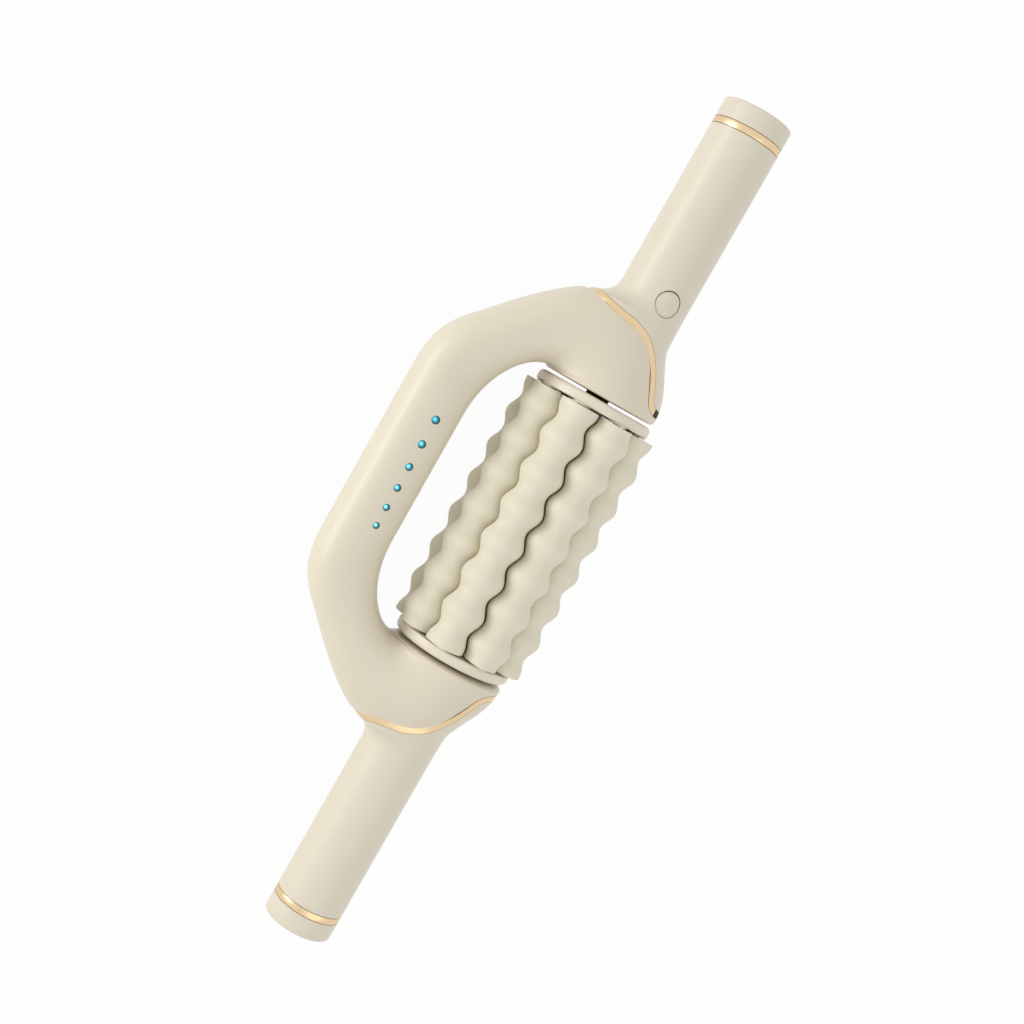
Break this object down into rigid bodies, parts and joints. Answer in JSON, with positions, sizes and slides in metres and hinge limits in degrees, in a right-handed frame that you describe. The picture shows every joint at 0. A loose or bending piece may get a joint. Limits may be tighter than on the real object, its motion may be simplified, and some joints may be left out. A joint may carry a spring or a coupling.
{
  "type": "roller massager",
  "caption": "Long body massager with a tube handle at each end, a side grip and a turning drum of waved silicone rods between them.",
  "frame": {"origin": "centre of the overall box, midway between the two ends of the tube handles", "axes": "+X along the drum and both tube handles, toward the end with the power button; +Y toward the side grip; +Z out of the front face, which carries the button and the indicators"},
  "size_m": [0.482, 0.1308, 0.0758],
  "materials": {
    "housing": "satin, fine moulded grain",
    "handle": "satin, fine moulded grain",
    "silicone": "soft matte",
    "gold_trim": "light champagne gold, satin",
    "button": "satin",
    "lens": "clear cyan",
    "steel": "dark, polished",
    "core": "turned",
    "board": "solder mask",
    "battery": "shrink sleeve",
    "inner_plastic": "as moulded",
    "motor_metal": "plated"
  },
  "bodies": {
    "housing": {"front_shell": "housing", "rear_shell": "housing", "upper_handle_tube": "handle", "lower_handle_tube": "handle", "upper_seam_trim": "gold_trim", "lower_seam_trim": "gold_trim", "upper_trim_ring": "gold_trim", "lower_trim_ring": "gold_trim", "upper_end_cap": "handle", "lower_end_cap": "handle", "charge_socket": "motor_metal", "indicator_board": "board", "main_board": "board", "push_switch": "inner_plastic", "battery_cell": "battery", "battery_holder": "inner_plastic", "gear_motor": "motor_metal", "gearbox": "motor_metal", "upper_bearing": "motor_metal", "lower_bearing": "motor_metal", "upper_bearing_carrier": "inner_plastic", "lower_bearing_carrier": "inner_plastic", "indicator_lens_1": "lens", "indicator_lens_2": "lens", "indicator_lens_3": "lens", "indicator_lens_4": "lens", "indicator_lens_5": "lens", "indicator_lens_6": "lens"},
    "drum": {"core_tube": "core", "upper_shaft": "steel", "lower_shaft": "steel", "upper_end_disc": "handle", "lower_end_disc": "handle", "rod_pin_1": "steel", "rod_pin_2": "steel", "rod_pin_3": "steel", "rod_pin_4": "steel", "rod_pin_5": "steel", "rod_pin_6": "steel", "rod_pin_7": "steel", "rod_pin_8": "steel"},
    "power_button": {"power_button": "button"},
    "rod_1": {"massage_rod_1": "silicone"},
    "rod_2": {"massage_rod_2": "silicone"},
    "rod_3": {"massage_rod_3": "silicone"},
    "rod_4": {"massage_rod_4": "silicone"},
    "rod_5": {"massage_rod_5": "silicone"},
    "rod_6": {"massage_rod_6": "silicone"},
    "rod_7": {"massage_rod_7": "silicone"},
    "rod_8": {"massage_rod_8": "silicone"}
  },
  "joints": [
    {"name": "drum_spin", "type": "hinge", "parent": "housing", "child": "drum", "pos_m": [0, -0.02747, 0], "axis": [1, 0, 0], "continuous": true},
    {"name": "rod_1_spin", "type": "hinge", "parent": "drum", "child": "rod_1", "pos_m": [0, -0.034, 0.0262], "axis": [1, 0, 0], "continuous": true},
    {"name": "rod_2_spin", "type": "hinge", "parent": "drum", "child": "rod_2", "pos_m": [0, -0.05061, 0.01391], "axis": [1, 0, 0], "continuous": true},
    {"name": "rod_3_spin", "type": "hinge", "parent": "drum", "child": "rod_3", "pos_m": [0, -0.05367, -0.00653], "axis": [1, 0, 0], "continuous": true},
    {"name": "rod_4_spin", "type": "hinge", "parent": "drum", "child": "rod_4", "pos_m": [0, -0.04138, -0.02314], "axis": [1, 0, 0], "continuous": true},
    {"name": "rod_5_spin", "type": "hinge", "parent": "drum", "child": "rod_5", "pos_m": [0, -0.02094, -0.0262], "axis": [1, 0, 0], "continuous": true},
    {"name": "rod_6_spin", "type": "hinge", "parent": "drum", "child": "rod_6", "pos_m": [0, -0.00433, -0.01391], "axis": [1, 0, 0], "continuous": true},
    {"name": "rod_7_spin", "type": "hinge", "parent": "drum", "child": "rod_7", "pos_m": [0, -0.00127, 0.00653], "axis": [1, 0, 0], "continuous": true},
    {"name": "rod_8_spin", "type": "hinge", "parent": "drum", "child": "rod_8", "pos_m": [0, -0.01356, 0.02314], "axis": [1, 0, 0], "continuous": true},
    {"name": "button_press", "type": "slide", "parent": "housing", "child": "power_button", "axis": [0, 0, -1], "range_m": [0, 0.0006], "stiffness_N_per_m": 800}
  ]
}
